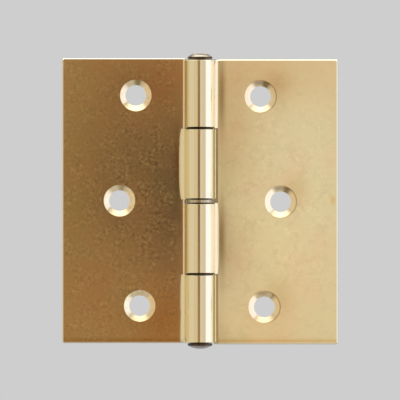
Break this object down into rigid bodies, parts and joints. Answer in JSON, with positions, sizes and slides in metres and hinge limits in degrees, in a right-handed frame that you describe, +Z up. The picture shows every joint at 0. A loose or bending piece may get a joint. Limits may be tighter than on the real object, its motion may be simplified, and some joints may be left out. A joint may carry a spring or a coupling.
{
  "type": "flat butt hinge",
  "caption": "Flat steel butt hinge with rolled knuckles on a riveted pin and zigzag countersunk screw holes, yellow passivated.",
  "frame": {"origin": "on the pin's axis, half way up, which is also the middle of the hinge's box", "axes": "+Z up along the pin, +X from the left leaf to the right leaf, +Y out of the flat backs of the leaves; the countersunk faces look along -Y"},
  "size_m": [0.0678, 0.007, 0.0724],
  "materials": {
    "plated_sheet": "mild steel sheet, zinc plated and yellow passivated, satin gold with faint pink and green tints",
    "bright_steel": "plain drawn steel with hammered rivet heads"
  },
  "bodies": {
    "fixed_leaf": {"left_leaf": "plated_sheet", "hinge_pin": "bright_steel"},
    "swinging_leaf": {"right_leaf": "plated_sheet"}
  },
  "joints": [
    {"name": "leaf_swing", "type": "hinge", "parent": "fixed_leaf", "child": "swinging_leaf", "pos_m": [0, 0, 0], "axis": [0, 0, -1], "range_deg": [-112, 182]}
  ]
}
